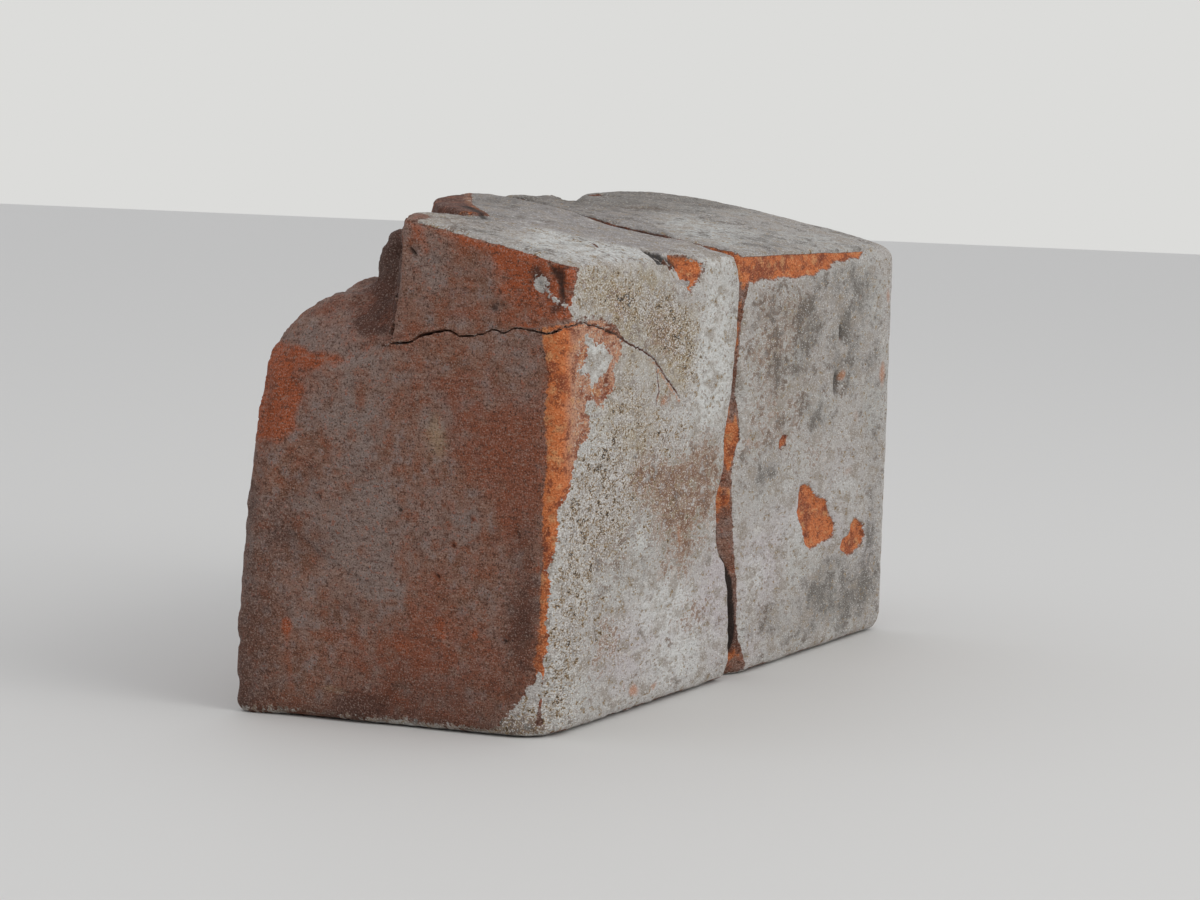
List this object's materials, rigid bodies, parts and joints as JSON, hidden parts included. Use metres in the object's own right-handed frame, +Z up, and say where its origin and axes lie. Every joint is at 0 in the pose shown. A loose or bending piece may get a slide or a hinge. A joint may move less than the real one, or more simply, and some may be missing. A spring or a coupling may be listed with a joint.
{
  "type": "broken clay brick",
  "caption": "Old hand-moulded solid clay brick on edge, broken across into halves set back together, with a cracked corner, a lost shoulder and lime residue.",
  "frame": {"origin": "middle of the brick's bounding box, on the surface it stands on", "axes": "+Z up; +Y along the brick's length from the near header to the far header; +X through its thickness from the bare bed face to the limed bed face"},
  "size_m": [0.0784, 0.229, 0.1157],
  "materials": {
    "fired_clay_front": "matt fired clay, weathered red-brown on the header, grey-white lime residue on the bed face, bright orange where freshly broken",
    "fired_clay_rear": "matt fired clay under grey-white lime residue and soot, bright orange where flaked or broken"
  },
  "bodies": {
    "root": {"front_half": "fired_clay_front", "rear_half": "fired_clay_rear"}
  },
  "joints": []
}
